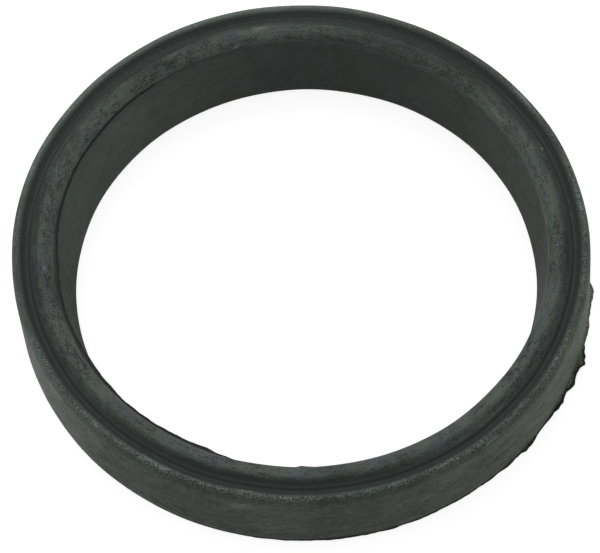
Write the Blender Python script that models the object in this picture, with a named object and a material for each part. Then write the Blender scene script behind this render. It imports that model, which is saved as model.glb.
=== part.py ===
"""Hose coupling gasket: one moulded rubber ring with a bore band, a groove and an outer lip.

The ring seats flat on its foot in the coupling. Its rounded inner band seals on the hose
tail, and the thin outer lip behind the groove is pushed against the coupling by the water.
It has set slightly out of round in use, and moulding flash is left along two edges.

Run it with: blender --background --python part.py
Units are metres, +Z is up, and the origin is the centre of the seat.
Bearings are in degrees about +Z, counted from +X towards +Y.
"""

import math

import bpy
import bmesh

MM = 0.001

# The bore, which narrows towards the foot
BORE_RADIUS = 50.4 * MM
BORE_TAPER = 2.4 * MM
BORE_WALL_HEIGHT = 15.2 * MM
BORE_FOOT_ROUND = 0.45 * MM
# The bore's foot lies this far off centre, towards +X
BORE_LEAN = 0.4 * MM

# The sealing band around the top of the bore
BAND_EDGE_RISE = 0.9 * MM
BAND_INNER_RUN = 2.8 * MM
BAND_CROWN_RISE = 2.15 * MM
BAND_OUTER_RUN = 1.8 * MM
BAND_OUTER_DROP = 1.1 * MM

# The groove behind the band, with a narrow ledge where the band ends
GROOVE_WIDTH = 1.85 * MM
GROOVE_DEPTH = 1.6 * MM
LEDGE_RUN = 0.2 * MM
LEDGE_FALL_RUN = 0.4 * MM

# The outer lip, whose inner face leans away from the groove
LIP_LEAN = 0.65 * MM
LIP_RISE = 0.2 * MM
LIP_INNER_RUN = 1.1 * MM
LIP_INNER_DROP = 0.9 * MM
LIP_OUTER_RUN = 1.15 * MM
LIP_OUTER_DROP = 2.6 * MM

# The outer wall and the foot
WALL_FLARE = 0.35 * MM
FOOT_ROUND_WIDTH = 0.9 * MM
FOOT_ROUND_HEIGHT = 1.6 * MM

# How far the ring has set out of round, and the bearing of its long axis
OVAL_SET = 1.0 * MM
OVAL_BEARING = -30.0

# Flash left in the mould's parting lines: fins with a blunt edge
FLASH_THICKNESS = 0.4 * MM
# Bearing and reach of the fin at the outer foot, past the foot's round
FOOT_FLASH = (
    (245, 0.05),
    (262, 0.15),
    (272, 0.3),
    (290, 0.2),
    (304, 0.25),
    (310, 0.4),
    (313.5, 0.8),
    (317, 0.3),
    (322, 0.5),
    (327, 0.95),
    (332, 1.0),
    (335.5, 1.5),
    (338.5, 0.65),
    (344, 0.5),
    (347, 0.5),
    (349.5, 0.85),
    (353, 0.2),
    (358, 0.05),
)
# Bearing and reach of the fin at the band's lower edge, into the bore
BORE_FLASH = (
    (95, 0.05),
    (110, 0.2),
    (150, 0.3),
    (166, 0.55),
    (176, 0.9),
    (190, 0.75),
    (206, 0.95),
    (219, 0.7),
    (232, 0.85),
    (242, 1.05),
    (248, 0.35),
    (252, 0.05),
    (262, 0.05),
    (264.5, 0.65),
    (270, 0.05),
)

# How finely the ring is cut: sections round the ring, and steps in each quarter round
SEGMENTS = 144
BAND_STEPS = 5
SLOPE_STEPS = 4
LIP_STEPS = 3
BORE_FOOT_STEPS = 2
FOOT_STEPS = 3

RUBBER_COLOUR = (0.047, 0.052, 0.050, 1.0)
RUBBER_ROUGHNESS = 0.62


def clear_scene():
    for item in list(bpy.data.objects):
        bpy.data.objects.remove(item, do_unlink=True)


def quarter(centre, run, rise, start, steps):
    """Points on a quarter of an ellipse, counted clockwise in the section from the start angle."""
    points = []
    for step in range(steps + 1):
        turn = math.radians(start - 90 * step / steps)
        points.append((centre[0] + run * math.cos(turn), centre[1] + rise * math.sin(turn)))
    return points


def slope(start, run, drop, steps):
    """Points down an easy slope from the start, level at its top and at its foot."""
    points = []
    for step in range(1, steps + 1):
        share = step / steps
        fall = drop * (1 - math.cos(math.pi * share)) / 2
        points.append((start[0] + run * share, start[1] - fall))
    return points


def fin_reach(outline, bearing):
    """Reach of a flash fin at a bearing, on straight lines between the outline's points."""
    for (start, low), (end, high) in zip(outline, outline[1:]):
        if start <= bearing < end:
            return (low + (high - low) * (bearing - start) / (end - start)) * MM
    return outline[0][1] * MM


def bore_side(bearing):
    """The seat's inner corner, the tapered bore wall and the flash fin under the band."""
    foot_radius = BORE_RADIUS - BORE_TAPER + BORE_LEAN * math.cos(math.radians(bearing))
    centre = (foot_radius + BORE_FOOT_ROUND, BORE_FOOT_ROUND)
    corner = quarter(centre, BORE_FOOT_ROUND, BORE_FOOT_ROUND, 270, BORE_FOOT_STEPS)
    reach = fin_reach(BORE_FLASH, bearing)
    fin_middle = BORE_WALL_HEIGHT + BAND_EDGE_RISE / 2
    fin_half = min(FLASH_THICKNESS, BAND_EDGE_RISE) / 2
    return corner + [
        (BORE_RADIUS, BORE_WALL_HEIGHT),
        (BORE_RADIUS - reach, fin_middle - fin_half),
        (BORE_RADIUS - reach, fin_middle + fin_half),
    ]


def band_top():
    """The convex sealing band, from the bore's top edge over the crown to the groove."""
    edge_height = BORE_WALL_HEIGHT + BAND_EDGE_RISE
    crown_radius = BORE_RADIUS + BAND_INNER_RUN
    inner = quarter((crown_radius, edge_height), BAND_INNER_RUN, BAND_CROWN_RISE, 180, BAND_STEPS)
    return inner + slope(inner[-1], BAND_OUTER_RUN, BAND_OUTER_DROP, SLOPE_STEPS)


def groove_floor(inner_radius, inner_height, floor):
    """A narrow ledge where the band ends, then the floor between its two creases."""
    ledge_radius = inner_radius + LEDGE_RUN
    return [
        (ledge_radius, inner_height),
        (ledge_radius + LEDGE_FALL_RUN, floor),
        (inner_radius + GROOVE_WIDTH - LIP_LEAN, floor),
    ]


def lip_top(inner_radius, height):
    """The lip's rounded crest, from the groove over to the outer wall."""
    crest_radius = inner_radius + LIP_INNER_RUN
    inner = quarter((crest_radius, height - LIP_INNER_DROP), LIP_INNER_RUN, LIP_INNER_DROP, 180, LIP_STEPS)
    outer = quarter((crest_radius, height - LIP_OUTER_DROP), LIP_OUTER_RUN, LIP_OUTER_DROP, 90, LIP_STEPS)
    return inner + outer[1:]


def foot_side(bearing, wall_radius):
    """The rounded outer foot with its flash fin, down to the seat's outer corner."""
    foot_radius = wall_radius + WALL_FLARE
    centre = (foot_radius - FOOT_ROUND_WIDTH, FOOT_ROUND_HEIGHT)
    widest, root, under, corner = quarter(centre, FOOT_ROUND_WIDTH, FOOT_ROUND_HEIGHT, 0, FOOT_STEPS)
    tip = root[0] + fin_reach(FOOT_FLASH, bearing)
    fin_top = under[1] + min(FLASH_THICKNESS, root[1] - under[1])
    return [widest, root, (tip, fin_top), (tip, under[1]), under, corner]


def section(bearing):
    """The closed section at a bearing, as (radius, height) points clockwise from the seat's inner edge."""
    points = bore_side(bearing) + band_top()
    groove_radius, groove_height = points[-1]
    band_crown = BORE_WALL_HEIGHT + BAND_EDGE_RISE + BAND_CROWN_RISE
    points += groove_floor(groove_radius, groove_height, band_crown - GROOVE_DEPTH)
    points += lip_top(groove_radius + GROOVE_WIDTH, band_crown + LIP_RISE)
    wall_radius, _ = points[-1]
    return points + foot_side(bearing, wall_radius)


def out_of_round(bearing):
    return OVAL_SET * math.cos(2 * math.radians(bearing - OVAL_BEARING))


def ring_mesh():
    """Joins the section at every bearing to the next one, right round the ring."""
    bm = bmesh.new()
    rows = []
    for segment in range(SEGMENTS):
        bearing = 360 * segment / SEGMENTS
        turn = math.radians(bearing)
        shift = out_of_round(bearing)
        row = []
        for radius, height in section(bearing):
            place = ((radius + shift) * math.cos(turn), (radius + shift) * math.sin(turn), height)
            row.append(bm.verts.new(place))
        rows.append(row)
    for row, following in zip(rows, rows[1:] + rows[:1]):
        for index in range(len(row)):
            after = (index + 1) % len(row)
            bm.faces.new((row[index], row[after], following[after], following[index]))
    bmesh.ops.recalc_face_normals(bm, faces=bm.faces)
    mesh = bpy.data.meshes.new("gasket")
    bm.to_mesh(mesh)
    bm.free()
    mesh.shade_smooth()
    mesh.set_sharp_from_angle(angle=math.radians(40))
    return mesh


def rubber():
    material = bpy.data.materials.new("aged_rubber")
    material.use_nodes = True
    shader = material.node_tree.nodes["Principled BSDF"]
    shader.inputs["Base Color"].default_value = RUBBER_COLOUR
    shader.inputs["Roughness"].default_value = RUBBER_ROUGHNESS
    shader.inputs["Metallic"].default_value = 0.0
    return material


def make_gasket():
    gasket = bpy.data.objects.new("gasket", ring_mesh())
    gasket.data.materials.append(rubber())
    bpy.context.scene.collection.objects.link(gasket)
    return gasket


clear_scene()
make_gasket()
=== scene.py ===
"""Dresses the hose coupling gasket: its aged skin with painted light and shade, its scuffed lip with a
painted highlight and its torn moulding flash.

The ring is one closed surface. Its section is worked out at each bearing round the ring and
joined to the next. Lengths are in metres, +Z is up and the origin is the centre of the seat.
Bearings are in degrees about +Z, counted from +X towards +Y.
"""

import logging
import math
from dataclasses import dataclass, field
from enum import Enum

import bpy
import numpy as np
from mathutils import Matrix, Vector


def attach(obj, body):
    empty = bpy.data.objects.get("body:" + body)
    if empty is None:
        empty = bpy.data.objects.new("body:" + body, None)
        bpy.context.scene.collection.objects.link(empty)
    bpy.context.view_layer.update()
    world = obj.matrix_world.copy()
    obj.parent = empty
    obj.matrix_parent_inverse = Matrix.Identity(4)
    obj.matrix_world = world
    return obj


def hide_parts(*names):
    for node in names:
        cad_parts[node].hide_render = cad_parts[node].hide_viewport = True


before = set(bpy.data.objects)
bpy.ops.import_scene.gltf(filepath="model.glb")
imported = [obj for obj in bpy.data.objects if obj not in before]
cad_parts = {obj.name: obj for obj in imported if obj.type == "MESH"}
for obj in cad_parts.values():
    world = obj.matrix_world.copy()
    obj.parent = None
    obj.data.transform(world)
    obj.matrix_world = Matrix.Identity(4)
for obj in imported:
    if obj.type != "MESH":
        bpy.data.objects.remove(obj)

LOG = logging.getLogger("gasket")
MM = 0.001
NODE = "gasket"
BODY = "root"

WHITE = (1.0, 1.0, 1.0, 1.0)

Colour = tuple[float, float, float]
Knots = tuple[tuple[float, float], ...]
Waves = tuple[int, ...]
Section = tuple[np.ndarray, np.ndarray]
Tree = bpy.types.NodeTree
Socket = bpy.types.NodeSocket
Source = float | tuple | Socket


def ripple(bearing: np.ndarray, waves: Waves, seed: int) -> np.ndarray:
    """A value that wanders round the ring and meets itself, mostly within -1 to 1.

    It is the sum of cos(n a + p) over the given whole numbers n of waves round the ring,
    with a random phase p for each, divided by the square root of their number.

    Args:
        bearing: Bearings in degrees.
        waves: How many waves each cosine makes round the ring.
        seed: Seed of the random phases.

    Returns:
        One value for each bearing.
    """
    turn = np.radians(bearing)
    phases = np.random.default_rng(seed).uniform(0, 2 * np.pi, len(waves))
    total = sum(np.cos(n * turn + p) for n, p in zip(waves, phases))
    return total / math.sqrt(len(waves))


def around(bearing: np.ndarray, knots: Knots) -> np.ndarray:
    """Reads a value on straight lines between knots of bearing and value, right round the ring."""
    angles, values = np.array(knots).T
    return np.interp(bearing, angles, values, period=360.0)


def steps(count: int) -> np.ndarray:
    """Even steps from just past 0 to 1, so that a stretch starts after the last one's end."""
    return np.arange(1, count + 1) / count


def put_in_scene(name: str, data: bpy.types.ID) -> bpy.types.Object:
    """Adds an object with this data to the scene."""
    made = bpy.data.objects.new(name, data)
    bpy.context.scene.collection.objects.link(made)
    return made


class Stretch(Enum):
    """The stretches of the section, in their order, clockwise from the seat's inner corner."""

    BORE_FOOT = 0
    BORE_WALL = 1
    BORE_FIN = 2
    BAND_INNER = 3
    BAND_OUTER = 4
    GROOVE = 5
    LIP_INNER = 6
    LIP_OUTER = 7
    WALL = 8
    FOOT_UPPER = 9
    FOOT_FIN = 10
    FOOT_LOWER = 11
    SEAT = 12


class Face(Enum):
    """The ring's faces that carry marks, each with what is measured across it."""

    BAND = "radius"
    LIP = "radius on the lip"
    WALL = "height"
    BORE = "height in the bore"


@dataclass(frozen=True)
class Flash:
    """A fin of rubber torn along one of the mould's parting lines.

    Attributes:
        outline: Bearing in degrees and reach in millimetres, at the fin's bends.
        root_thickness: How thick the fin is where it leaves the ring.
        tip_thickness: How thick it is at the torn edge.
        bites: How far the torn edge wanders slowly, as a share of the reach.
        teeth: How far it wanders quickly, as a share of the reach.
        seed: Seed of the tear.
        curl: How far the torn edge curls up or down, as a share of the reach.
        least: How much of the outline's reach the deepest bite leaves, as a share.
        most: How much of it the longest tooth has, as a share.
        tip_point: Where the middle of the blunt torn edge lies, as a share of the reach.
    """

    outline: Knots
    root_thickness: float
    tip_thickness: float
    bites: float
    teeth: float
    seed: int
    curl: float = 0.12
    least: float = 0.15
    most: float = 2.0
    tip_point: float = 1.06
    bite_waves: Waves = (41, 53, 67, 83)
    tooth_waves: Waves = (131, 167, 199, 229)
    curl_waves: Waves = (17, 29, 37)

    def reach(self, bearing: np.ndarray) -> np.ndarray:
        """How far the torn edge stands out: the outline's reach times one plus two ripples."""
        slow = ripple(bearing, self.bite_waves, self.seed)
        quick = ripple(bearing, self.tooth_waves, self.seed + 1)
        torn = 1 + self.bites * slow + self.teeth * quick
        return around(bearing, self.outline) * MM * np.clip(torn, self.least, self.most)

    def curled(self, bearing: np.ndarray) -> np.ndarray:
        """How far the torn edge lies above or below the fin's middle at the root."""
        return self.curl * self.reach(bearing) * ripple(bearing, self.curl_waves, self.seed + 2)

    def sheet(self, root: float, middle: float, bearing: np.ndarray, outwards: int,
              rising: int, count: int) -> Section:
        """The fin's section, out along one face, round the torn edge and back along the other.

        With u the share of the reach, 0 at the root and 1 at the edge, the half thickness
        is the edge's plus the rest times (1 - u) cubed, and the middle curls with u squared.

        Args:
            root: Radius at the root.
            middle: Height of the fin's middle at the root.
            bearing: Bearings in degrees, as a column.
            outwards: 1 for a fin that stands out from the ring, -1 for one into the bore.
            rising: 1 if the section runs upwards past the fin, -1 if downwards.
            count: Points on each face.

        Returns:
            Radius and height, a row for each bearing.
        """
        share = np.concatenate([steps(count), [self.tip_point], steps(count)[::-1], [0.0]])
        side = np.concatenate([-np.ones(count), [0.0], np.ones(count + 1)]) * rising
        inside = np.minimum(share, 1.0)
        half = (self.tip_thickness + (self.root_thickness - self.tip_thickness) * (1 - inside) ** 3) / 2
        radius = root + outwards * self.reach(bearing) * share
        height = middle + side * half + self.curled(bearing) * inside**2
        return radius, height


@dataclass
class Ring:
    """The moulded rubber ring, with the solid's sizes and a few finer ones that only it has."""

    bore_radius: float = 50.4 * MM
    bore_taper: float = 2.4 * MM
    bore_wall_height: float = 15.2 * MM
    bore_foot_round: float = 0.45 * MM
    bore_lean: float = 0.4 * MM

    band_edge_rise: float = 0.9 * MM
    band_inner_run: float = 2.8 * MM
    band_crown_rise: float = 2.15 * MM
    band_outer_run: float = 1.8 * MM
    band_outer_drop: float = 1.1 * MM

    groove_width: float = 1.85 * MM
    groove_depth: float = 1.6 * MM
    groove_rounding: float = 0.32 * MM
    ledge_run: float = 0.2 * MM
    ledge_fall_run: float = 0.4 * MM

    lip_lean: float = 0.65 * MM
    lip_rise: float = 0.2 * MM
    lip_inner_run: float = 1.1 * MM
    lip_inner_drop: float = 0.9 * MM
    lip_outer_run: float = 1.15 * MM
    lip_outer_drop: float = 2.6 * MM

    wall_flare: float = 0.35 * MM
    foot_round_width: float = 0.9 * MM
    foot_round_height: float = 1.6 * MM
    foot_fin_height: float = 0.41 * MM
    foot_fin_root_angle: float = -30.0
    foot_fin_end_angle: float = -60.0

    oval_set: float = 1.0 * MM
    oval_bearing: float = -30.0
    foot_oval: float = 0.34 * MM
    lip_wander: float = 0.07 * MM
    lip_waves: Waves = (3, 5, 8, 13, 19)
    wall_wander: float = 0.05 * MM
    wall_waves: Waves = (4, 7, 11, 16)
    wander_seed: int = 5

    bearings: int = 800
    bore_foot_points: int = 4
    bore_wall_points: int = 14
    fin_points: int = 4
    band_inner_points: int = 14
    band_outer_points: int = 10
    groove_points: int = 18
    lip_inner_points: int = 7
    lip_outer_points: int = 8
    wall_points: int = 16
    foot_points: int = 3
    seat_points: int = 5

    foot_flash: Flash = field(default_factory=lambda: Flash(
        outline=(
            (245, 0.05), (262, 0.15), (272, 0.3), (290, 0.2), (304, 0.25), (310, 0.4),
            (313.5, 0.8), (317, 0.3), (322, 0.5), (327, 0.95), (332, 1.0), (335.5, 1.5),
            (338.5, 0.65), (344, 0.5), (347, 0.5), (349.5, 0.85), (353, 0.2), (358, 0.05),
        ),
        root_thickness=0.5 * MM, tip_thickness=0.18 * MM, bites=0.25, teeth=0.1, seed=11))
    bore_flash: Flash = field(default_factory=lambda: Flash(
        outline=(
            (95, 0.05), (118, 0.1), (134, 0.25), (150, 0.25), (166, 0.55), (176, 0.9), (190, 0.75),
            (206, 0.95), (219, 0.7), (232, 0.85), (242, 1.05), (248, 0.35), (252, 0.05),
            (262, 0.05), (264.5, 0.65), (270, 0.05),
        ),
        root_thickness=0.6 * MM, tip_thickness=0.16 * MM, bites=0.06, teeth=0.02, seed=23))

    def __post_init__(self) -> None:
        """Works out the radii and heights that the stretches share."""
        self.edge_height = self.bore_wall_height + self.band_edge_rise
        self.crown = self.edge_height + self.band_crown_rise
        self.crown_radius = self.bore_radius + self.band_inner_run
        self.shoulder = self.crown - self.band_outer_drop
        self.groove_radius = self.crown_radius + self.band_outer_run
        self.lip_radius = self.groove_radius + self.groove_width
        self.lip_top = self.crown + self.lip_rise
        self.crest_radius = self.lip_radius + self.lip_inner_run
        self.wall_radius = self.crest_radius + self.lip_outer_run
        self.wall_top = self.lip_top - self.lip_outer_drop
        self.foot_radius = self.wall_radius + self.wall_flare
        round_share = 1 - math.cos(math.radians(self.foot_fin_root_angle))
        self.fin_root_radius = self.foot_radius - self.foot_round_width * round_share

    @staticmethod
    def arc(centre: tuple, run: float, rise: float, start: float, end: float, count: int) -> Section:
        """Part of an ellipse: radius = centre + run cos t and height = centre + rise sin t.

        Args:
            centre: Radius and height of the centre; the radius may be a column of bearings.
            run: Half width.
            rise: Half height.
            start: Angle t at the start in degrees, which gives no point.
            end: Angle t at the end in degrees.
            count: Number of points.

        Returns:
            Radius and height.
        """
        turn = np.radians(start + (end - start) * steps(count))
        return centre[0] + run * np.cos(turn), centre[1] + rise * np.sin(turn)

    @staticmethod
    def line(start: tuple, end: tuple, count: int) -> Section:
        """A straight stretch: each point is the start plus an even share of the way to the end."""
        share = steps(count)
        return start[0] + (end[0] - start[0]) * share, start[1] + (end[1] - start[1]) * share

    @staticmethod
    def slope(start: tuple, run: float, drop: float, count: int) -> Section:
        """An easy slope, level at both ends: with u the share of the run, the fall is
        the drop times half of 1 - cos(180 u)."""
        share = steps(count)
        return start[0] + run * share, start[1] - drop * (1 - np.cos(np.pi * share)) / 2

    @staticmethod
    def rounded(corners: Knots, rounding: float, count: int, samples: int = 15) -> Section:
        """A broken line with its corners rounded off.

        Each point is the mean of the broken line over the rounding to either side, or over
        what is left up to the nearer end, so that both ends stay in place.

        Args:
            corners: Radius and height of each corner.
            rounding: Half the length that is averaged.
            count: Number of points.
            samples: How many places of the line each mean takes in.

        Returns:
            Radius and height.
        """
        radii, heights = np.array(corners).T
        places = np.concatenate([[0.0], np.cumsum(np.hypot(np.diff(radii), np.diff(heights)))])
        spots = places[-1] * steps(count)
        half = np.minimum(rounding, np.minimum(spots, places[-1] - spots))
        window = spots[:, None] + half[:, None] * np.linspace(-1, 1, samples)
        return np.interp(window, places, radii).mean(1), np.interp(window, places, heights).mean(1)

    def groove(self) -> Section:
        """The groove: off a narrow ledge where the band ends, then the floor and the lip's inner face."""
        floor = self.crown - self.groove_depth
        ledge = self.groove_radius + self.ledge_run
        return self.rounded((
            (self.groove_radius, self.shoulder),
            (ledge, self.shoulder),
            (ledge + self.ledge_fall_run, floor),
            (self.lip_radius - self.lip_lean, floor),
            (self.lip_radius, self.lip_top - self.lip_inner_drop),
        ), self.groove_rounding, self.groove_points)

    def section(self, bearing: np.ndarray) -> dict[Stretch, Section]:
        """The closed section at every bearing.

        Args:
            bearing: Bearings in degrees, as a column.

        Returns:
            Radius and height of each stretch, a row for each bearing.
        """
        foot_centre = (self.foot_radius - self.foot_round_width, self.foot_round_height)
        foot_size = (self.foot_round_width, self.foot_round_height)
        corner = self.bore_foot_round
        bore_foot = self.bore_radius - self.bore_taper + self.bore_lean * np.cos(np.radians(bearing))
        bore_fin_height = self.bore_wall_height + self.band_edge_rise / 2
        return {
            Stretch.BORE_FOOT: self.arc(
                (bore_foot + corner, corner), corner, corner, 270, 180, self.bore_foot_points),
            Stretch.BORE_WALL: self.line(
                (bore_foot, corner), (self.bore_radius, self.bore_wall_height), self.bore_wall_points),
            Stretch.BORE_FIN: self.bore_flash.sheet(
                self.bore_radius, bore_fin_height, bearing, -1, 1, self.fin_points),
            Stretch.BAND_INNER: self.arc(
                (self.crown_radius, self.edge_height), self.band_inner_run, self.band_crown_rise,
                180, 90, self.band_inner_points),
            Stretch.BAND_OUTER: self.slope(
                (self.crown_radius, self.crown), self.band_outer_run, self.band_outer_drop,
                self.band_outer_points),
            Stretch.GROOVE: self.groove(),
            Stretch.LIP_INNER: self.arc(
                (self.crest_radius, self.lip_top - self.lip_inner_drop), self.lip_inner_run,
                self.lip_inner_drop, 180, 90, self.lip_inner_points),
            Stretch.LIP_OUTER: self.arc(
                (self.crest_radius, self.wall_top), self.lip_outer_run, self.lip_outer_drop,
                90, 0, self.lip_outer_points),
            Stretch.WALL: self.line(
                (self.wall_radius, self.wall_top), (self.foot_radius, self.foot_round_height),
                self.wall_points),
            Stretch.FOOT_UPPER: self.arc(
                foot_centre, *foot_size, 0, self.foot_fin_root_angle, self.foot_points),
            Stretch.FOOT_FIN: self.foot_flash.sheet(
                self.fin_root_radius, self.foot_fin_height, bearing, 1, -1, self.fin_points),
            Stretch.FOOT_LOWER: self.arc(
                foot_centre, *foot_size, self.foot_fin_end_angle, -90, self.foot_points),
            Stretch.SEAT: self.line((foot_centre[0], 0.0), (bore_foot + corner, 0.0), self.seat_points),
        }

    def out_of_round(self, bearing: np.ndarray, height: np.ndarray) -> np.ndarray:
        """How far each point has moved outwards from the round form.

        The set is a cosine of twice the bearing from the long axis. The foot has its own
        slight oval, sin of twice the bearing, which fades out up to the crown. The lip and
        the wall wander a little round the ring, the lip more, as old rubber does.
        """
        rise = height / self.crown
        oval = self.oval_set * np.cos(2 * np.radians(bearing - self.oval_bearing))
        foot = self.foot_oval * np.sin(2 * np.radians(bearing)) * (1 - rise)
        lip = self.lip_wander * ripple(bearing, self.lip_waves, self.wander_seed) * rise**2
        wall = self.wall_wander * ripple(bearing, self.wall_waves, self.wander_seed + 1) * (1 - rise)
        return oval + foot + lip + wall

    def spot(self, face: Face, bearing: float, across: float) -> tuple[float, float]:
        """Where a place on a face is: the real radius there, and the height.

        With u the share of the way from the crown or crest to the face's end, the fall is
        the drop times 1 - root of (1 - u squared) on the quarters of ellipses, and the drop
        times half of 1 - cos(180 u) on the band's outer slope. The walls are straight.

        Args:
            face: The face.
            bearing: Bearing in degrees.
            across: Radius on the band or lip, height on a wall, of the round form.

        Returns:
            Radius and height.
        """
        if face is Face.BAND and across > self.crown_radius:
            share = min((across - self.crown_radius) / self.band_outer_run, 1.0)
            radius, height = across, self.crown - self.band_outer_drop * (1 - math.cos(math.pi * share)) / 2
        elif face in (Face.BAND, Face.LIP):
            middle, top = ((self.crown_radius, self.crown) if face is Face.BAND
                           else (self.crest_radius, self.lip_top))
            run, drop = ((self.band_inner_run, self.band_crown_rise) if face is Face.BAND
                         else (self.lip_inner_run, self.lip_inner_drop) if across < middle
                         else (self.lip_outer_run, self.lip_outer_drop))
            share = min(abs(across - middle) / run, 1.0)
            radius, height = across, top - drop * (1 - math.sqrt(1 - share**2))
        elif face is Face.WALL:
            share = (self.wall_top - across) / (self.wall_top - self.foot_round_height)
            radius, height = self.wall_radius + self.wall_flare * share, across
        else:
            radius = self.bore_radius - self.bore_taper * (1 - across / self.bore_wall_height)
            height = across
        return radius + float(self.out_of_round(np.array(bearing), np.array(height))), height

    def surface(self) -> "Surface":
        """The whole surface, from the section at every bearing."""
        bearing = (360.0 * np.arange(self.bearings) / self.bearings)[:, None]
        radii, heights, stretches = [], [], []
        for stretch, (radius, height) in self.section(bearing).items():
            shape = (self.bearings, np.shape(radius)[-1])
            radii.append(np.broadcast_to(radius, shape))
            heights.append(np.broadcast_to(height, shape))
            stretches.append(np.full(shape[1], stretch.value))
        round_radius, height = np.concatenate(radii, 1), np.concatenate(heights, 1)
        stretch = np.broadcast_to(np.concatenate(stretches), height.shape)
        radius = round_radius + self.out_of_round(bearing, height)
        return Surface(np.broadcast_to(bearing, height.shape), radius, round_radius, height, stretch)


@dataclass(frozen=True)
class Skin:
    """How much of each kind of ageing one stretch of the section takes.

    Olive, dirt with painted shading, matt and contrast are the same all round. The others are shares of what
    the ageing and the painted light give by bearing for the place in their names.
    """

    band_bloom: float = 0.0
    wall_bloom_and_light: float = 0.0
    bore_bloom_and_shade: float = 0.0
    olive: float = 0.0
    wall_olive: float = 0.0
    bore_olive: float = 0.0
    grime_and_shading: float = 0.0
    matt: float = 0.0
    contrast: float = 0.0
    lip_contrast: float = 0.0
    lip_wear_and_highlight: float = 0.0
    groove_wear: float = 0.0
    fin_painted_light: float = 0.0


SKIN: dict[Stretch, Skin] = {
    Stretch.BORE_FOOT: Skin(bore_bloom_and_shade=0.9, bore_olive=1.0, matt=1.0, contrast=0.3),
    Stretch.BORE_WALL: Skin(bore_bloom_and_shade=1.0, bore_olive=1.0, matt=1.0, contrast=0.3),
    # Dirt and painted shading: the bore's fin, the groove, the lip's inner face and the foot's underside take
    # a set tone for how these hollows are lit.
    Stretch.BORE_FIN: Skin(grime_and_shading=0.6, contrast=1.0),
    Stretch.BAND_INNER: Skin(band_bloom=1.0, olive=0.25, contrast=1.0),
    Stretch.BAND_OUTER: Skin(band_bloom=1.0, olive=0.25, grime_and_shading=0.3, contrast=1.0),
    Stretch.GROOVE: Skin(grime_and_shading=1.0, contrast=0.5, groove_wear=1.0),
    Stretch.LIP_INNER: Skin(grime_and_shading=0.7, lip_contrast=1.0, lip_wear_and_highlight=1.0, groove_wear=1.0),
    Stretch.LIP_OUTER: Skin(wall_bloom_and_light=1.0, wall_olive=1.0, lip_contrast=1.0, lip_wear_and_highlight=1.0),
    Stretch.WALL: Skin(wall_bloom_and_light=1.0, wall_olive=1.0, contrast=2.4),
    # The foot's round and fin take extra bloom and the fin's painted light: painted light that lifts the
    # shade of the crease under the foot.
    Stretch.FOOT_UPPER: Skin(wall_bloom_and_light=1.4, wall_olive=1.0, contrast=2.0, fin_painted_light=0.6),
    Stretch.FOOT_FIN: Skin(wall_bloom_and_light=1.8, wall_olive=1.0, contrast=1.0, fin_painted_light=1.0),
    Stretch.FOOT_LOWER: Skin(grime_and_shading=1.0),
    Stretch.SEAT: Skin(bore_bloom_and_shade=0.8),
}


@dataclass(frozen=True)
class Surface:
    """The ring's surface as grids, with a row for each bearing and a column for each point.

    Attributes:
        bearing: Bearings in degrees.
        radius: Radius of each point.
        round_radius: Radius that it has on the round form.
        height: Height of each point.
        stretch: The number of each point's stretch.
    """

    bearing: np.ndarray
    radius: np.ndarray
    round_radius: np.ndarray
    height: np.ndarray
    stretch: np.ndarray

    def share(self, kind: str) -> np.ndarray:
        """Each point's share of a kind of ageing, from its stretch's row in the table."""
        return np.array([getattr(SKIN[name], kind) for name in Stretch])[self.stretch]

    def spread(self, kind: str, knots: Knots) -> np.ndarray:
        """A kind of ageing that follows knots round the ring, on the stretches that take it."""
        return self.share(kind) * around(self.bearing, knots)


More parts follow.
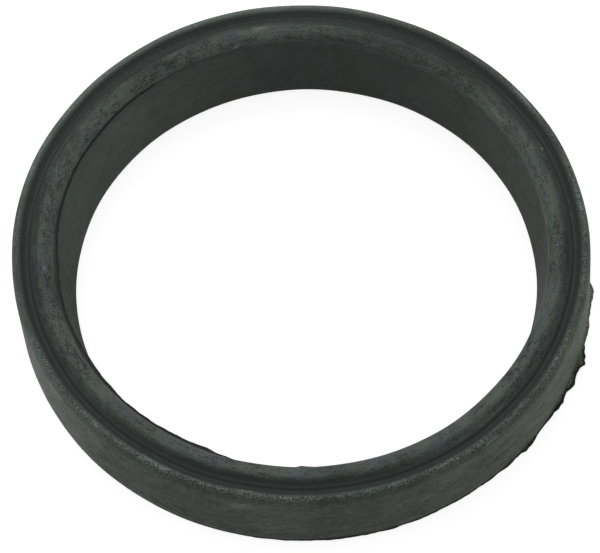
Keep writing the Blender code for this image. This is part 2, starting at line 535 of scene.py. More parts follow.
@dataclass(frozen=True)
class Ageing:
    """Where the skin is bloomed, tinted, dirty, matt and scuffed, and where light and shade are painted on
    it, as values from 0 to 1 at each point.

    The contrast alone goes past 1. The table above gives each stretch's share.

    Attributes:
        inner_bloom: Bloom at the band's inner edge, by bearing.
        crown_bloom: Bloom on the band's crown, by bearing.
        bloom_edge: Radius in millimetres at which the band's bloom ends, by bearing.
        edge_spread: How gradually the bloom ends there.
        edge_limit: How many spreads from the border the fading is still worked out.
        wall_bloom_and_light: Bloom on the outer wall, by bearing, raised at the side outlines as painted
            sheen.
        bore_bloom_and_shade: Bloom on the bore's wall, by bearing, kept low at its sides as painted shade.
        wall_olive: Olive tint of the outer wall, by bearing.
        bore_olive: Olive tint of the bore's wall, by bearing.
        lip_wear_and_highlight: Rubbing on the lip's crest by bearing, raised on the far side as a painted
            highlight.
        groove_wear: Wear in the groove, by bearing.
        fin_painted_light: Painted light on top of the foot's fin, by bearing, which lifts the shade of the
            crease under the foot.
        lip_contrast: How strongly the lip's skin varies from spot to spot, by bearing; low on the far side,
            under the painted highlight.
        wear_inside: How far the lip's rubbing and painted highlight reach from the crest towards the groove.
        wear_outside: How far they reach down the outside.
        wear_drift: How far they wander round the ring, as a share of it.
        softening: How often the values are blended across the section.
    """

    inner_bloom: Knots = (
        (0, 0.9), (20, 1.0), (45, 0.42), (72, 0.22), (98, 0.4), (120, 0.75), (140, 1.0), (165, 0.75),
        (200, 0.7), (225, 0.75), (255, 1.0), (272, 0.62), (300, 1.0), (330, 0.8))
    crown_bloom: Knots = (
        (10, 0.75), (35, 0.3), (62, 0.22), (92, 0.68), (120, 0.42), (135, 0.42), (155, 0.85), (182, 0.6),
        (196, 1.0), (212, 0.7), (228, 0.5), (256, 0.95), (270, 0.5), (290, 0.85), (330, 0.95), (346, 0.5))
    bloom_edge: Knots = (
        (0, 54.4), (30, 55.1), (150, 55.2), (180, 54.8), (212, 54.5), (230, 54.1), (242, 53.6), (275, 53.9),
        (292, 54.5), (305, 55.0), (330, 54.6))
    edge_spread: float = 0.18 * MM
    edge_limit: float = 20.0
    # Raised at the side outlines, 194 to 208 and 315 to 330 degrees: painted sheen over the bloom.
    wall_bloom_and_light: Knots = (
        (0, 0.35), (150, 0.4), (180, 0.45), (194, 1.0), (208, 0.8), (223, 0.16), (240, 0.03), (256, 0.16),
        (272, 0.06), (300, 0.26), (330, 0.42), (350, 0.38))
    # Low at 0 and 180 degrees, the bore's sides: painted shade that holds down their sheen, over the bloom.
    bore_bloom_and_shade: Knots = (
        (0, 0.15), (15, 0.4), (30, 0.48), (60, 0.3), (90, 0.32), (120, 0.7), (135, 0.9), (150, 0.75),
        (165, 0.6), (180, 0.12), (300, 0.12))
    wall_olive: Knots = ((0, 0.4), (200, 0.4), (235, 0.7), (290, 0.8), (330, 0.9), (345, 1.0), (356, 0.4))
    bore_olive: Knots = ((0, 0.3), (90, 0.1), (130, 0.3), (160, 0.5), (240, 0.5), (280, 0.3))
    # The crest from about 70 to 165 degrees, the far side, takes more than its rubbing: a painted rim
    # highlight.
    lip_wear_and_highlight: Knots = (
        (0, 0.6), (15, 0.38), (30, 0.55), (52, 0.3), (72, 0.7), (90, 1.5), (118, 1.4), (150, 1.1),
        (168, 0.5), (182, 0.32), (210, 0.5), (232, 0.7), (258, 0.55), (330, 0.45))
    groove_wear: Knots = ((0, 0.04), (45, 0.1), (75, 0.18), (150, 0.16), (185, 0.02), (330, 0))
    # Painted light on top of the foot's fin, strongest from 339 to 350 degrees, where the crease under the
    # foot is in shade.
    fin_painted_light: Knots = ((0, 0), (300, 0), (318, 0.15), (337, 0.1), (339, 0.9), (350, 0.9), (353, 0))
    lip_contrast: Knots = ((0, 1), (45, 0.8), (75, 0.3), (150, 0.3), (178, 0.7), (200, 1))
    wear_inside: float = 0.5 * MM
    wear_outside: float = 0.7 * MM
    wear_drift: float = 0.3
    drift_waves: Waves = (11, 17, 23, 37, 61)
    drift_seed: int = 41
    softening: int = 2

    def soften(self, value: np.ndarray) -> np.ndarray:
        """Blends a value into its neighbours along the section: the mean of 1, 2 and 1 shares."""
        for _ in range(self.softening):
            value = (np.roll(value, 1, 1) + 2 * value + np.roll(value, -1, 1)) / 4
        return value

    def bloom(self, surface: Surface, ring: Ring) -> np.ndarray:
        """The pale bloom that comes out of old rubber, thickest on the band and the outer wall; on the outer
        wall and in the bore it also carries painted light and shade.

        On the band it goes from the inner edge's share to the crown's, and fades out past
        its outer border: 1 / (1 + exp(d / spread)), with d the way past the border.

        Args:
            surface: The ring's surface.
            ring: The ring.

        Returns:
            The share of bloom at each point.
        """
        rise = np.clip((surface.round_radius - ring.bore_radius) / ring.band_inner_run, 0, 1)
        edge = around(surface.bearing, self.bloom_edge) * MM
        past = np.clip((surface.round_radius - edge) / self.edge_spread, -self.edge_limit, self.edge_limit)
        band = (surface.spread("band_bloom", self.inner_bloom) * (1 - rise)
                + surface.spread("band_bloom", self.crown_bloom) * rise)
        bloom = (band / (1 + np.exp(past)) + surface.spread("wall_bloom_and_light", self.wall_bloom_and_light)
                 + surface.spread("bore_bloom_and_shade", self.bore_bloom_and_shade))
        return np.clip(self.soften(bloom), 0, 1)

    def olive(self, surface: Surface) -> np.ndarray:
        """The olive tint of the outer wall and the bore, with a little on the band."""
        olive = (surface.share("olive") + surface.spread("wall_olive", self.wall_olive)
                 + surface.spread("bore_olive", self.bore_olive))
        return np.clip(self.soften(olive), 0, 1)

    def grime_and_shading(self, surface: Surface) -> np.ndarray:
        """Dirt and painted shading in the groove and on its two sides, under the foot and along the bore's
        fin: a set tone that stands in for how these hollows are lit.
        """
        return np.clip(self.soften(surface.share("grime_and_shading")), 0, 1)

    def matt(self, surface: Surface) -> np.ndarray:
        """The bore's wall, which the mould's core left rougher."""
        return self.soften(surface.share("matt"))

    def contrast(self, surface: Surface) -> np.ndarray:
        """How strongly the skin varies from spot to spot: most on the wall, little in the bore."""
        lip = surface.spread("lip_contrast", self.lip_contrast)
        return self.soften(surface.share("contrast") + lip)

    def wear_and_light(self, surface: Surface, ring: Ring) -> np.ndarray:
        """Rubbing on the lip's crest, with a painted highlight along its far side, a little in the groove,
        and painted light on top of the foot's fin that lifts the shade of the crease there.

        On the lip it is exp(-(d / reach) squared), with d the way across from the crest.

        Args:
            surface: The ring's surface.
            ring: The ring.

        Returns:
            The share of wear at each point.
        """
        away = surface.round_radius - ring.crest_radius
        near = np.exp(-((away / np.where(away < 0, self.wear_inside, self.wear_outside)) ** 2))
        drift = 1 + self.wear_drift * ripple(surface.bearing, self.drift_waves, self.drift_seed)
        wear_and_light = (surface.spread("lip_wear_and_highlight", self.lip_wear_and_highlight) * near * drift
                + surface.spread("groove_wear", self.groove_wear)
                + surface.spread("fin_painted_light", self.fin_painted_light))
        return np.clip(wear_and_light, 0, 1)


class MarkKind(Enum):
    """What a mark on the skin is."""

    PALE = "whitish bloom"
    RUB = "light rubbed patch"
    BLUE = "blue-grey stain"
    TEAL = "green-blue stain"
    OLIVE = "olive stain"
    BROWN = "brown stain"
    PIT = "dark pit"


@dataclass(frozen=True)
class Mark:
    """One mark on the skin: an oval with a ragged edge.

    Attributes:
        kind: What it is.
        face: The face that it lies on.
        bearing: Bearing of its middle in degrees.
        across: Radius of its middle on the band or lip, or its height on a wall, in millimetres.
        length: Half its length round the ring, in degrees.
        width: Half its width across the face, in millimetres.
        strength: How much of its colour shows, from 0 to 1.
    """

    kind: MarkKind
    face: Face
    bearing: float
    across: float
    length: float
    width: float
    strength: float


MARKS: tuple[Mark, ...] = (
    Mark(MarkKind.PALE, Face.BAND, 16.9, 54.8, 0.35, 0.25, 1.0),
    Mark(MarkKind.PALE, Face.BAND, 29.0, 51.4, 3.0, 0.6, 0.4),
    Mark(MarkKind.RUB, Face.BAND, 36.5, 54.4, 6.0, 0.25, 0.4),
    Mark(MarkKind.BLUE, Face.BAND, 51.0, 53.6, 3.0, 0.9, 0.45),
    Mark(MarkKind.BLUE, Face.BAND, 60.0, 53.2, 3.0, 0.8, 0.4),
    Mark(MarkKind.PALE, Face.BAND, 93.2, 53.4, 2.2, 0.8, 0.5),
    Mark(MarkKind.BLUE, Face.BAND, 99.2, 52.4, 0.8, 2.0, 0.6),
    Mark(MarkKind.PALE, Face.BAND, 99.8, 50.6, 0.9, 0.45, 0.5),
    Mark(MarkKind.RUB, Face.BAND, 115.0, 53.0, 2.5, 0.9, 0.4),
    Mark(MarkKind.RUB, Face.BAND, 128.0, 52.8, 3.0, 1.0, 0.4),
    Mark(MarkKind.RUB, Face.BAND, 134.5, 51.9, 1.6, 0.5, 0.4),
    Mark(MarkKind.PIT, Face.BAND, 134.0, 50.5, 0.7, 0.35, 0.8),
    Mark(MarkKind.PALE, Face.BAND, 179.0, 52.3, 0.7, 0.45, 0.7),
    Mark(MarkKind.BLUE, Face.BAND, 185.5, 54.3, 1.0, 0.7, 0.5),
    Mark(MarkKind.PALE, Face.BAND, 200.5, 51.0, 4.5, 0.35, 0.5),
    Mark(MarkKind.OLIVE, Face.BAND, 214.0, 53.6, 1.2, 0.5, 0.5),
    Mark(MarkKind.BLUE, Face.BAND, 218.5, 51.8, 4.0, 0.5, 0.55),
    Mark(MarkKind.OLIVE, Face.BAND, 219.5, 53.4, 1.2, 0.5, 0.5),
    Mark(MarkKind.BLUE, Face.BAND, 237.0, 51.8, 1.4, 0.5, 0.55),
    Mark(MarkKind.TEAL, Face.BAND, 246.0, 51.3, 1.6, 0.5, 0.6),
    Mark(MarkKind.TEAL, Face.BAND, 284.5, 52.2, 1.3, 0.5, 0.6),
    Mark(MarkKind.TEAL, Face.BAND, 311.5, 51.7, 1.0, 0.4, 0.5),
    Mark(MarkKind.TEAL, Face.BAND, 320.0, 53.1, 0.8, 0.4, 0.4),
    Mark(MarkKind.TEAL, Face.BAND, 329.7, 51.5, 2.4, 0.5, 0.7),
    Mark(MarkKind.BLUE, Face.BAND, 346.0, 52.4, 6.5, 0.3, 0.6),
    Mark(MarkKind.BROWN, Face.BAND, 347.5, 53.6, 4.5, 0.45, 0.6),
    Mark(MarkKind.TEAL, Face.BAND, 356.5, 51.2, 3.5, 0.5, 0.7),
    Mark(MarkKind.TEAL, Face.BAND, 3.0, 51.3, 3.0, 0.4, 0.5),
    Mark(MarkKind.PALE, Face.LIP, 29.0, 58.0, 3.5, 0.45, 0.8),
    Mark(MarkKind.PALE, Face.LIP, 219.0, 58.2, 1.0, 0.4, 0.6),
    Mark(MarkKind.PALE, Face.LIP, 232.0, 57.5, 1.8, 0.3, 0.4),
    Mark(MarkKind.PALE, Face.LIP, 253.5, 57.4, 2.2, 0.35, 0.5),
    Mark(MarkKind.TEAL, Face.LIP, 278.5, 57.8, 2.2, 0.35, 0.6),
    Mark(MarkKind.PALE, Face.LIP, 304.2, 58.8, 2.0, 0.5, 0.6),
    Mark(MarkKind.PALE, Face.WALL, 207.0, 15.5, 3.5, 1.3, 0.35),
    Mark(MarkKind.RUB, Face.WALL, 252.2, 14.5, 3.5, 1.5, 0.6),
    Mark(MarkKind.RUB, Face.WALL, 288.8, 9.0, 1.2, 0.7, 0.6),
    Mark(MarkKind.RUB, Face.WALL, 317.0, 13.0, 4.0, 0.5, 0.6),
    Mark(MarkKind.PIT, Face.WALL, 212.6, 11.0, 0.5, 0.5, 0.9),
    Mark(MarkKind.PIT, Face.WALL, 220.2, 10.0, 0.45, 0.35, 0.8),
    Mark(MarkKind.PIT, Face.WALL, 222.6, 15.6, 0.4, 0.4, 0.8),
    Mark(MarkKind.BROWN, Face.WALL, 288.0, 11.0, 2.0, 1.1, 0.5),
    Mark(MarkKind.RUB, Face.WALL, 297.5, 15.0, 2.2, 0.3, 0.5),
    Mark(MarkKind.RUB, Face.WALL, 305.0, 15.9, 2.2, 0.5, 0.5),
    Mark(MarkKind.RUB, Face.WALL, 324.0, 15.6, 2.6, 0.4, 0.5),
    Mark(MarkKind.PALE, Face.BORE, 140.0, 0.7, 0.9, 0.6, 0.7),
)


@dataclass(frozen=True)
class Noise:
    """Smooth noise, and how it is spread out from its low values to its high ones.

    Attributes:
        scale: How many of its lumps lie along a metre.
        detail: How many finer layers it has.
        roughness: How strong each finer layer is beside the one before.
        low: The plain noise that gives 0.
        high: The plain noise that gives the most.
        most: The highest value.
    """

    scale: float
    detail: float = 2.0
    roughness: float = 0.5
    low: float = 0.0
    high: float = 1.0
    most: float = 1.0


@dataclass
class Graph:
    """A node tree, with short ways to add nodes and join them."""

    tree: Tree

    def node(self, kind: str, inputs: dict | None = None, **settings: object) -> bpy.types.Node:
        """Adds a node.

        Args:
            kind: The node's type, without the ShaderNode prefix.
            inputs: A value or a socket for each input, by name or number.
            **settings: The node's own properties.

        Returns:
            The node.
        """
        made = self.tree.nodes.new("ShaderNode" + kind)
        for name, value in settings.items():
            setattr(made, name, value)
        for name, source in (inputs or {}).items():
            self.feed(made.inputs[name], source)
        return made

    def feed(self, socket: Socket, source: Source) -> None:
        """Joins a socket to another one, or sets its value."""
        if isinstance(source, Socket):
            self.tree.links.new(source, socket)
        else:
            socket.default_value = source

    def calc(self, operation: str, first: Source, second: Source = 0.0, third: Source = 0.0,
             clamp: bool = False) -> Socket:
        """A Math node on up to three values."""
        inputs = {0: first, 1: second, 2: third}
        return self.node("Math", inputs, operation=operation, use_clamp=clamp).outputs[0]

    def remap(self, value: Source, low: float, high: float, to_low: float = 0.0,
              to_high: float = 1.0) -> Socket:
        """Maps low to high onto another range, smoothly, and holds it past both ends."""
        inputs = {0: value, 1: low, 2: high, 3: to_low, 4: to_high}
        return self.node("MapRange", inputs, interpolation_type="SMOOTHSTEP").outputs[0]

    def mix(self, share: Source, first: Source, second: Source) -> Socket:
        """Mixes two colours by a share from 0 to 1."""
        made = self.node("Mix", data_type="RGBA")
        for socket, source in ((made.inputs[0], share), (made.inputs[6], first), (made.inputs[7], second)):
            if isinstance(source, tuple) and len(source) == 3:
                source = (*source, 1.0)
            self.feed(socket, source)
        return made.outputs[2]

    def attribute(self, name: str) -> Socket:
        """One of the ring's own values at each point."""
        return self.node("Attribute", attribute_name=name).outputs["Fac"]

    def point(self) -> Socket:
        """The point on the surface, from the ring's own origin."""
        return self.node("TexCoord").outputs["Object"]

    def length(self, first: Source, second: Source) -> Socket:
        """The root of the sum of two values' squares."""
        both = self.node("CombineXYZ", {0: first, 1: second}).outputs[0]
        return self.node("VectorMath", {0: both}, operation="LENGTH").outputs["Value"]

    def noise(self, vector: Source, kind: Noise, scale: Source | None = None,
              fourth: Source | None = None) -> Socket:
        """Plain noise about 0.5, in four dimensions if a fourth is given."""
        inputs = {"Vector": vector, "Scale": kind.scale if scale is None else scale,
                  "Detail": kind.detail, "Roughness": kind.roughness}
        if fourth is not None:
            inputs["W"] = fourth
        return self.node("TexNoise", inputs, noise_dimensions="3D" if fourth is None else "4D").outputs["Fac"]

    def spread(self, noise: Source, kind: Noise) -> Socket:
        """Spreads plain noise out from 0 to its kind's highest value."""
        return self.remap(noise, kind.low, kind.high, 0.0, kind.most)

    def patches(self, kind: Noise) -> Socket:
        """Noise over the surface, spread out."""
        return self.spread(self.noise(self.point(), kind), kind)

    def sway(self, terms: dict[Socket, float]) -> Source:
        """The sum of each term's way from one half, times its weight."""
        total: Source = 0.0
        for term, weight in terms.items():
            total = self.calc("ADD", total, self.calc("MULTIPLY_ADD", term, weight, -weight / 2))
        return total

    def bump(self, strength: float, depth: float, height: Source) -> Socket:
        """A normal that follows a height."""
        return self.node("Bump", {"Strength": strength, "Distance": depth, "Height": height}).outputs[0]


def start_material(name: str) -> tuple[bpy.types.Material, Graph, bpy.types.bpy_prop_collection]:
    """Starts a material, and gives it with its graph and the inputs of its shader."""
    material = bpy.data.materials.new(name)
    material.use_nodes = True
    return material, Graph(material.node_tree), material.node_tree.nodes["Principled BSDF"].inputs


class Groups:
    """The shader node groups that the finishes share.

    Attributes:
        DRAWN_OUT: Noise of the streaks and blotches, on a vector that is already scaled.
        MOTTLE: Noise of the mottling.
        SPECKLE: Noise of the speckle.
        SLANT: Slow noise that tilts the streaks.
        STREAK_HEIGHT: How high the streaks stand, as a share of the speckle's height.
        RAGGED_NOISE: The noise where a mark's edge lies furthest out and furthest in.
        RAGGED_REACH: What the reach is multiplied by at those two.
        SOFT_EDGE: The reach at which a mark starts to fade, and at which it has gone.
    """

    DRAWN_OUT: Noise = Noise(1.0, 3.0, 0.6, 0.22, 0.78)
    MOTTLE: Noise = Noise(700.0, 4.0, 0.6, 0.22, 0.78)
    SPECKLE: Noise = Noise(3400.0, 2.0, 0.7, 0.24, 0.76)
    SLANT: Noise = Noise(45.0)
    STREAK_HEIGHT: float = 0.5
    RAGGED_NOISE: tuple[float, float] = (0.35, 0.65)
    RAGGED_REACH: tuple[float, float] = (0.6, 1.5)
    SOFT_EDGE: tuple[float, float] = (0.35, 1.15)

    @staticmethod
    def new(name: str, inputs: dict[str, float], outputs: tuple[str, ...]) -> tuple:
        """Starts a group with number sockets.

        Args:
            name: The group's name.
            inputs: Each input's name and its default.
            outputs: The names of the outputs.

        Returns:
            The group, its graph, its input node's outputs and its output node's inputs.
        """
        tree = bpy.data.node_groups.new(name, "ShaderNodeTree")
        for title, default in inputs.items():
            socket = tree.interface.new_socket(title, in_out="INPUT", socket_type="NodeSocketFloat")
            socket.default_value = default
        for title in outputs:
            tree.interface.new_socket(title, in_out="OUTPUT", socket_type="NodeSocketFloat")
        given = tree.nodes.new("NodeGroupInput").outputs
        made = tree.nodes.new("NodeGroupOutput").inputs
        return tree, Graph(tree), given, made

    @classmethod
    def grain(cls) -> Tree:
        """The rubber's grain: streaks and blotches drawn out round the ring, mottling and speckle.

        Streaks and blotches are noise in four dimensions: the point's direction from the
        axis times their number round the ring, its radius and its height, so that they
        follow the ring's circles on every face of it. A slow noise times the slant is
        added to the height, so that on the walls the streaks run a little uphill or down.
        """
        tree, graph, given, made = cls.new(
            "ring_grain",
            {"Streaks Round": 14.0, "Streak Fineness": 1500.0, "Blotches Round": 7.0,
             "Blotch Fineness": 330.0, "Mottle Fineness": cls.MOTTLE.scale,
             "Speckle Fineness": cls.SPECKLE.scale, "Slant": 0.015},
            ("Streak", "Blotch", "Mottle", "Speckle", "Height"))
        place = graph.point()
        split = graph.node("SeparateXYZ", {0: place}).outputs
        flat = graph.node("CombineXYZ", {0: split[0], 1: split[1]}).outputs[0]
        radius = graph.length(split[0], split[1])
        heading = graph.node("VectorMath", {0: flat}, operation="NORMALIZE").outputs[0]
        height = graph.calc("MULTIPLY_ADD", graph.noise(place, cls.SLANT), given["Slant"], split[2])

        def drawn_out(rounds: str, fineness: str) -> Socket:
            """Noise drawn out round the ring, by the names of the two inputs that set its sizes."""
            spread = graph.node("VectorMath", {0: heading, "Scale": given[rounds]}, operation="SCALE")
            parts = graph.node("SeparateXYZ", {0: spread.outputs[0]}).outputs
            across = graph.calc("MULTIPLY", radius, given[fineness])
            vector = graph.node("CombineXYZ", {0: parts[0], 1: parts[1], 2: across}).outputs[0]
            fourth = graph.calc("MULTIPLY", height, given[fineness])
            return graph.noise(vector, cls.DRAWN_OUT, fourth=fourth)

        streak = drawn_out("Streaks Round", "Streak Fineness")
        blotch = drawn_out("Blotches Round", "Blotch Fineness")
        mottle = graph.noise(place, cls.MOTTLE, given["Mottle Fineness"])
        speckle = graph.noise(place, cls.SPECKLE, given["Speckle Fineness"])
        graph.feed(made["Streak"], graph.spread(streak, cls.DRAWN_OUT))
        graph.feed(made["Blotch"], graph.spread(blotch, cls.DRAWN_OUT))
        graph.feed(made["Mottle"], graph.spread(mottle, cls.MOTTLE))
        graph.feed(made["Speckle"], graph.spread(speckle, cls.SPECKLE))
        graph.feed(made["Height"], graph.calc("MULTIPLY_ADD", streak, cls.STREAK_HEIGHT, speckle))
        return tree

    @classmethod
    def place(cls) -> Tree:
        """Where a point is on the ring: its bearing in degrees, its radius and its height."""
        tree, graph, _, made = cls.new("ring_place", {}, ("Bearing", "Radius", "Height"))
        split = graph.node("SeparateXYZ", {0: graph.point()}).outputs
        turn = graph.calc("ARCTAN2", split[1], split[0])
        graph.feed(made["Bearing"], graph.calc("MULTIPLY", turn, 180.0 / math.pi))
        graph.feed(made["Radius"], graph.length(split[0], split[1]))
        graph.feed(made["Height"], split[2])
        return tree

    @classmethod
    def mark(cls) -> Tree:
        """An oval mark: 1 inside and 0 outside, with a soft edge that the noise makes ragged.

        The reach is the root of (way round / length) squared plus (way across / width)
        squared, times a factor from the noise. The mark fades from 1 to 0 over the soft edge.
        """
        tree, graph, given, made = cls.new(
            "ring_mark",
            {"Bearing": 0.0, "Radius": 0.0, "Height": 0.0, "Noise": 0.5, "Mark Bearing": 0.0,
             "Mark Radius": 0.0, "Mark Height": 0.0, "Half Length": 1.0, "Half Width": 0.001,
             "Strength": 1.0},
            ("Mask",))
        turn = graph.calc("SUBTRACT", given["Bearing"], given["Mark Bearing"])
        turn = graph.calc("WRAP", turn, 180.0, -180.0)
        along = graph.calc("DIVIDE", turn, given["Half Length"])
        out = graph.calc("SUBTRACT", given["Radius"], given["Mark Radius"])
        up = graph.calc("SUBTRACT", given["Height"], given["Mark Height"])
        across = graph.calc("DIVIDE", graph.length(out, up), given["Half Width"])
        ragged = graph.remap(given["Noise"], *cls.RAGGED_NOISE, *cls.RAGGED_REACH)
        reach = graph.calc("MULTIPLY", graph.length(along, across), ragged)
        mask = graph.remap(reach, *cls.SOFT_EDGE, 1.0, 0.0)
        graph.feed(made["Mask"], graph.calc("MULTIPLY", mask, given["Strength"]))
        return tree


@dataclass(frozen=True)
class AgedRubber:
    """The ring's skin: greenish black rubber under a grey bloom, pale where it is scuffed and where a
    highlight is painted.

    The weights say how far each grain and the patches move the bloom. Where the rubber is scuffed, and where
    the lip's highlight and the fin's light are painted, the rubbed_share moves by the rubbed_swing from the
    darker to the paler speckle.
    The roughness is that of the lowest and of the highest mottle.
    """

    name: str = "aged_rubber_skin"
    rubber: Colour = (0.010, 0.012, 0.0115)
    green: Colour = (0.007, 0.014, 0.007)
    bloom: Colour = (0.068, 0.082, 0.076)
    olive: Colour = (0.064, 0.084, 0.052)
    blue: Colour = (0.054, 0.069, 0.085)
    warm: Colour = (0.082, 0.078, 0.073)
    # Dirt and painted shading: the set tone of the hollows, chosen for how they are lit as well as for their
    # dirt.
    grime_and_shading: Colour = (0.025, 0.0295, 0.028)
    # Pale colour of the lip's rubbing, which also paints the far side's highlight and the light on the foot's
    # fin.
    worn_and_highlight: Colour = (0.165, 0.198, 0.172)
    marks: dict[MarkKind, Colour] = field(default_factory=lambda: {
        MarkKind.PALE: (0.130, 0.146, 0.120),
        MarkKind.RUB: (0.082, 0.094, 0.082),
        MarkKind.BLUE: (0.034, 0.042, 0.060),
        MarkKind.TEAL: (0.046, 0.074, 0.066),
        MarkKind.OLIVE: (0.036, 0.044, 0.018),
        MarkKind.BROWN: (0.032, 0.027, 0.025),
        MarkKind.PIT: (0.004, 0.005, 0.005),
    })
    patch: Noise = Noise(75.0, 4.0, 0.6, 0.32, 0.68)
    olive_patch: Noise = Noise(90.0, 3.0, 0.5, 0.4, 0.62, 0.4)
    blue_patch: Noise = Noise(190.0, 4.0, 0.65, 0.44, 0.62)
    warm_patch: Noise = Noise(430.0, 3.0, 0.6, 0.48, 0.66)
    mark_edge: Noise = Noise(1300.0, 3.0, 0.65)
    weights: tuple[tuple[str, float], ...] = (
        ("Blotch", 0.6), ("Mottle", 0.8), ("Streak", 1.1), ("Speckle", 1.8))
    patch_weight: float = 0.6
    least_swing: float = 0.15
    rubbed_speckle: tuple[float, float] = (0.3, 0.8)
    rubbed_swing: tuple[float, float] = (-0.5, 0.6)
    rubbed_share: float = 0.5
    roughness: tuple[float, float] = (0.58, 0.78)
    matt_gain: float = 0.14
    specular: float = 0.25
    bump: float = 0.4
    bump_depth: float = 0.08 * MM

    def build(self, grain: Tree, ring: Ring) -> bpy.types.Material:
        """Builds the material.

        Args:
            grain: The shared grain group.
            ring: The ring, which says where the marks lie.

        Returns:
            The material.
        """
        material, graph, shader = start_material(self.name)
        look = graph.node("Group", node_tree=grain).outputs
        # The bloom value also carries painted sheen on the outer wall and painted shade in the bore.
        bloom = graph.attribute("bloom")
        contrast = graph.attribute("contrast")
        grains = {look[name]: weight for name, weight in self.weights}
        wander = graph.sway(grains | {graph.patches(self.patch): self.patch_weight})
        swing = graph.calc("MULTIPLY", graph.calc("ADD", bloom, self.least_swing), contrast)
        haze_and_shading = graph.calc("MULTIPLY_ADD", wander, swing, bloom, clamp=True)
        on_olive = graph.attribute("olive")
        olive = graph.calc("MAXIMUM", on_olive, graph.patches(self.olive_patch))
        blue = graph.calc("MULTIPLY", graph.patches(self.blue_patch), contrast, clamp=True)
        warm = graph.calc("MULTIPLY", graph.patches(self.warm_patch), contrast, clamp=True)
        tint =graph.mix(warm, graph.mix(blue, self.bloom, self.blue), self.warm)
        tint = graph.mix(olive, tint, self.olive)
        colour = graph.mix(haze_and_shading, graph.mix(on_olive, self.rubber, self.green), tint)
        # Painted shading: the hollows take a set tone for how they are lit, with their dirt.
        colour = graph.mix(graph.attribute("grime_and_shading"), colour, self.grime_and_shading)
        speckle = graph.remap(look["Speckle"], *self.rubbed_speckle, *self.rubbed_swing)
        rubbed_and_lit = graph.calc("MULTIPLY_ADD", speckle, contrast, self.rubbed_share)
        rubbed_and_lit = graph.calc("MULTIPLY", graph.attribute("wear_and_light"), rubbed_and_lit, clamp=True)
        # The pale colour is the lip's rubbing, a painted highlight along its far side and painted light on
        # top of the foot's fin.
        colour = graph.mix(rubbed_and_lit, colour, self.worn_and_highlight)
        rough = graph.remap(look["Mottle"], 0.0, 1.0, *self.roughness)
        rough = graph.calc("MULTIPLY_ADD", graph.attribute("matt"), self.matt_gain, rough)
        shader["Specular IOR Level"].default_value = self.specular
        graph.feed(shader["Base Color"], self.marked(graph, colour, ring))
        graph.feed(shader["Roughness"], rough)
        graph.feed(shader["Normal"], graph.bump(self.bump, self.bump_depth, look["Height"]))
        return material

    def marked(self, graph: Graph, colour: Source, ring: Ring) -> Source:
        """Lays each mark over a colour.

        Args:
            graph: The material's graph.
            colour: The colour under the marks.
            ring: The ring, which says where the marks lie.

        Returns:
            The colour with the marks.
        """
        point = graph.node("Group", node_tree=Groups.place()).outputs
        noise = graph.noise(graph.point(), self.mark_edge)
        group = Groups.mark()
        for mark in MARKS:
            radius, height = ring.spot(mark.face, mark.bearing, mark.across * MM)
            mask = graph.node("Group", {
                "Bearing": point["Bearing"], "Radius": point["Radius"], "Height": point["Height"],
                "Noise": noise, "Mark Bearing": mark.bearing, "Mark Radius": radius,
                "Mark Height": height, "Half Length": mark.length, "Half Width": mark.width * MM,
                "Strength": mark.strength,
            }, node_tree=group).outputs["Mask"]
            colour = graph.mix(mask, colour, self.marks[mark.kind])
        return colour


@dataclass(frozen=True)
class TornRubber:
    """The torn flash: fresh black rubber with no bloom, rougher where the speckle is high."""

    name: str = "torn_rubber"
    black: Colour = (0.008, 0.009, 0.009)
    edge: Colour = (0.018, 0.020, 0.019)
    roughness: tuple[float, float] = (0.65, 0.9)
    specular: float = 0.2
    bump: float = 0.5
    bump_depth: float = 0.1 * MM

    def build(self, grain: Tree) -> bpy.types.Material:
        """Builds the material from the shared grain group."""
        material, graph, shader = start_material(self.name)
        look = graph.node("Group", node_tree=grain).outputs
        shader["Specular IOR Level"].default_value = self.specular
        graph.feed(shader["Base Color"], graph.mix(look["Mottle"], self.black, self.edge))
        graph.feed(shader["Roughness"], graph.remap(look["Speckle"], 0.0, 1.0, *self.roughness))
        graph.feed(shader["Normal"], graph.bump(self.bump, self.bump_depth, look["Height"]))
        return material


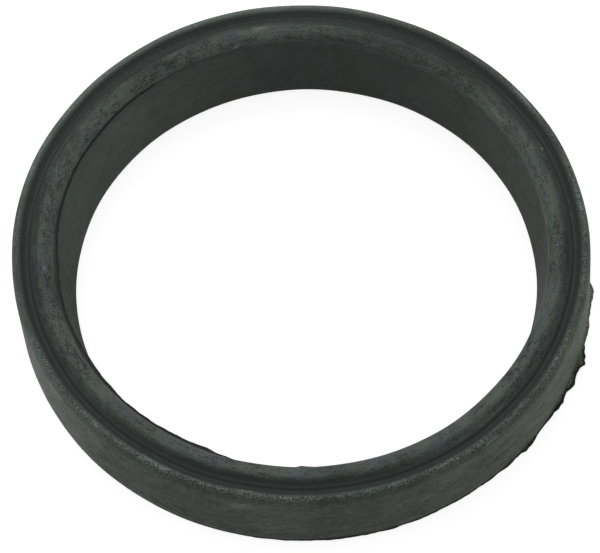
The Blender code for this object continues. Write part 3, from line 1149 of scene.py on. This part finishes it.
@dataclass
class Gasket:
    """The whole gasket: the ring's mesh with its ageing and its two finishes."""

    ring: Ring = field(default_factory=Ring)
    ageing: Ageing = field(default_factory=Ageing)
    skin: AgedRubber = field(default_factory=AgedRubber)
    torn: TornRubber = field(default_factory=TornRubber)
    torn_reach: float = 0.12 * MM
    torn_depth: Knots = (
        (0, 0.3), (300, 0.3), (320, 0.7), (336.5, 0.7), (338.5, 0.12), (352, 0.12), (356, 0.3))
    sharp_angle: float = 75.0

    def mesh(self) -> bpy.types.Mesh:
        """Builds the mesh: four corners from neighbouring bearings and section points to a face."""
        surface = self.ring.surface()
        rows, columns = surface.height.shape
        turn = np.radians(surface.bearing)
        across = (surface.radius * np.cos(turn), surface.radius * np.sin(turn))
        points = np.stack([*across, surface.height], -1).reshape(-1, 3)
        here = np.arange(rows * columns).reshape(rows, columns)
        along, onward = np.roll(here, -1, 1), np.roll(here, -1, 0)
        corners = np.stack([here, along, np.roll(along, -1, 0), onward], -1).reshape(-1, 4)
        mesh = bpy.data.meshes.new("gasket_ring")
        mesh.from_pydata(points, [], corners)
        values = {
            # These values carry painted light as well as ageing: the bloom holds painted sheen on the outer
            # wall and painted shade in the bore, the dirt value painted shading in the hollows, and the
            # rubbing value a painted highlight on the lip and painted light on the foot's fin.
            "bloom": self.ageing.bloom(surface, self.ring),
            "olive": self.ageing.olive(surface),
            "grime_and_shading": self.ageing.grime_and_shading(surface),
            "wear_and_light": self.ageing.wear_and_light(surface, self.ring),
            "matt": self.ageing.matt(surface),
            "contrast": self.ageing.contrast(surface),
        }
        for name, value in values.items():
            attribute = mesh.attributes.new(name, "FLOAT", "POINT")
            attribute.data.foreach_set("value", value.astype(np.float32).ravel())
        mesh.polygons.foreach_set("material_index", self.torn_faces(surface).ravel())
        mesh.shade_smooth()
        mesh.set_sharp_from_angle(angle=math.radians(self.sharp_angle))
        mesh.update()
        return mesh

    def torn_faces(self, surface: Surface) -> np.ndarray:
        """Which faces are torn rubber: those of a fin near its torn edge.

        They lie within the torn depth of the edge, where the fin reaches past the least reach.

        Args:
            surface: The ring's surface.

        Returns:
            1 for torn faces and 0 for the others.
        """
        bore_reach = self.ring.bore_flash.reach(surface.bearing)
        foot_reach = self.ring.foot_flash.reach(surface.bearing)
        depth = around(surface.bearing, self.torn_depth) * MM
        bore = ((surface.stretch == Stretch.BORE_FIN.value) & (bore_reach > self.torn_reach)
                & (surface.round_radius < self.ring.bore_radius - bore_reach + depth))
        foot = ((surface.stretch == Stretch.FOOT_FIN.value) & (foot_reach > self.torn_reach)
                & (surface.round_radius > self.ring.fin_root_radius + foot_reach - depth))
        return (bore | foot).astype(np.int32)

    def build(self) -> bpy.types.Object:
        """Makes the gasket's object, dressed and in place of the solid.

        Returns:
            The object.
        """
        grain = Groups.grain()
        mesh = self.mesh()
        mesh.materials.append(self.skin.build(grain, self.ring))
        mesh.materials.append(self.torn.build(grain))
        piece = put_in_scene("gasket_ring", mesh)
        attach(piece, BODY)
        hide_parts(NODE)
        return piece


@dataclass(frozen=True)
class Lamp:
    """A soft square lamp that points at the ring.

    Attributes:
        name: The lamp's name.
        place: Where it stands.
        width: The side of its square.
        power: Its power in watts.
    """

    name: str
    place: tuple[float, float, float]
    width: float
    power: float

    def build(self) -> None:
        """Adds the lamp to the scene."""
        data = bpy.data.lights.new(self.name, "AREA")
        data.size = self.width
        data.energy = self.power
        lamp = put_in_scene(self.name, data)
        lamp.location = self.place
        lamp.rotation_euler = (-Vector(self.place)).to_track_quat("-Z", "Y").to_euler()


@dataclass(frozen=True)
class Camera:
    """The camera, where the photograph was taken from.

    Attributes:
        aim: The point of the seat's plane that it looks at.
        distance: How far it stands from that point.
        elevation: How far it looks down, in degrees.
        roll: How far it is turned about its own line of sight, in degrees.
        lens: Focal length in millimetres.
        sensor: Width of the sensor in millimetres.
    """

    aim: tuple[float, float, float] = (-0.62 * MM, 1.65 * MM, 0.0)
    distance: float = 0.6342
    elevation: float = 62.21
    roll: float = -6.65
    lens: float = 180.06
    sensor: float = 36.0

    def build(self) -> None:
        """Adds the camera and makes it the scene's own."""
        data = bpy.data.cameras.new("camera")
        data.lens = self.lens
        data.sensor_width = self.sensor
        data.sensor_fit = "HORIZONTAL"
        camera = put_in_scene("camera", data)
        tilt = Matrix.Rotation(math.radians(90 - self.elevation), 4, "X")
        roll = Matrix.Rotation(math.radians(self.roll), 4, "Z")
        away = Matrix.Translation((0.0, 0.0, self.distance))
        camera.matrix_world = Matrix.Translation(self.aim) @ tilt @ away @ roll
        bpy.context.scene.camera = camera


@dataclass(frozen=True)
class Studio:
    """A plain floor and world, white to the camera, with soft lamps behind and to the sides."""

    floor_half: float = 3.0
    floor_gap: float = 0.05 * MM
    floor_colour: Colour = (0.55, 0.55, 0.55)
    floor_glow: float = 0.7
    world_light: float = 0.75
    lamps: tuple[Lamp, ...] = (
        Lamp("left_lamp", (-0.8, 0.1, 0.4), 0.8, 1.1),
        Lamp("right_lamp", (0.8, 0.05, 0.4), 0.8, 0.5),
        Lamp("back_lamp", (0.0, 0.75, 0.65), 0.9, 3.2),
    )

    @staticmethod
    def seen(graph: Graph) -> Socket:
        """1 for what the camera sees, straight or in a gloss or through glass, and else 0."""
        path = graph.node("LightPath").outputs
        shown = graph.calc("MAXIMUM", path["Is Camera Ray"], path["Is Glossy Ray"])
        return graph.calc("MAXIMUM", shown, path["Is Transmission Ray"])

    def floor(self) -> None:
        """Lays the floor: matt grey, with a glow that whitens it but leaves the shadow in view."""
        half, low = self.floor_half, -self.floor_gap
        mesh = bpy.data.meshes.new("floor")
        square = [(-half, -half, low), (half, -half, low), (half, half, low), (-half, half, low)]
        mesh.from_pydata(square, [], [(0, 1, 2, 3)])
        material, graph, shader = start_material("white_floor")
        shader["Base Color"].default_value = (*self.floor_colour, 1.0)
        shader["Roughness"].default_value = 1.0
        shader["Specular IOR Level"].default_value = 0.0
        shader["Emission Color"].default_value = WHITE
        graph.feed(shader["Emission Strength"], graph.calc("MULTIPLY", self.seen(graph), self.floor_glow))
        mesh.materials.append(material)
        floor = put_in_scene("floor", mesh)

    def world(self) -> None:
        """Sets the world: white to the camera, and a plain even light on the ring."""
        world = bpy.data.worlds.new("studio")
        world.use_nodes = True
        graph = Graph(world.node_tree)
        background = world.node_tree.nodes["Background"].inputs
        background["Color"].default_value = WHITE
        strength = graph.node("MapRange", {0: self.seen(graph), 3: self.world_light, 4: 1.0}).outputs[0]
        graph.feed(background["Strength"], strength)
        bpy.context.scene.world = world

    def build(self) -> None:
        """Adds the floor, the world and the lamps, and sets the plain view."""
        self.floor()
        self.world()
        for lamp in self.lamps:
            lamp.build()
        bpy.context.scene.view_settings.view_transform = "Standard"


def corners(box: tuple[Vector, Vector]) -> list[list[float]]:
    """A box's lowest and highest corners as plain numbers."""
    return [list(corner) for corner in box]


def main() -> None:
    """Builds the gasket and the studio, and notes how many points and faces the dressed part has."""
    logging.basicConfig(level=logging.INFO, format="%(name)s: %(message)s")
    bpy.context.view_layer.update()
    Camera().build()
    piece = Gasket().build()
    LOG.info("%s has %d points and %d faces", piece.name, len(piece.data.vertices), len(piece.data.polygons))
    Studio().build()


if __name__ == "__main__":
    main()
